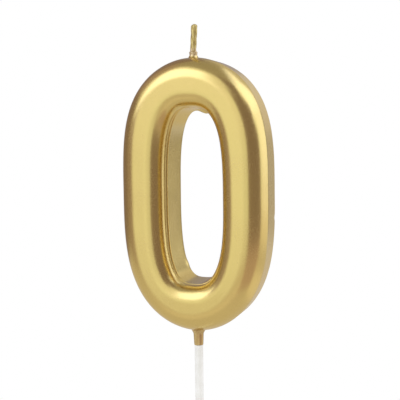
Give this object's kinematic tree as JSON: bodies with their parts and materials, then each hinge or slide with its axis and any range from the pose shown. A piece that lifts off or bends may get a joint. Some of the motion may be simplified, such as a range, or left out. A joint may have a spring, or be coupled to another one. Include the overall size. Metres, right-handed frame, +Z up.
{
  "type": "number candle",
  "caption": "Cake candle shaped as the numeral zero: cast wax under a satin gold coat, with a plaited wick on top and a white pick below that pushes into the cake.",
  "frame": {"origin": "on the pick's axis at the foot of the neck collar, where the top of the cake comes", "axes": "+Z up along the pick towards the wick, +Y out of the numeral's flat back, so the rounded front faces -Y"},
  "size_m": [0.0402, 0.012, 0.133],
  "materials": {
    "gold_wax": "satin metallic gold, faintly grained",
    "pale_wax": "pale cast wax, matt",
    "gilt_cotton": "plaited cotton stiffened with gold wax",
    "white_plastic": "moulded white plastic, soft sheen"
  },
  "bodies": {
    "root": {"gold_coat": "gold_wax", "wax_core": "pale_wax", "wick": "gilt_cotton", "neck_collar": "gold_wax", "pick": "white_plastic"}
  },
  "joints": []
}
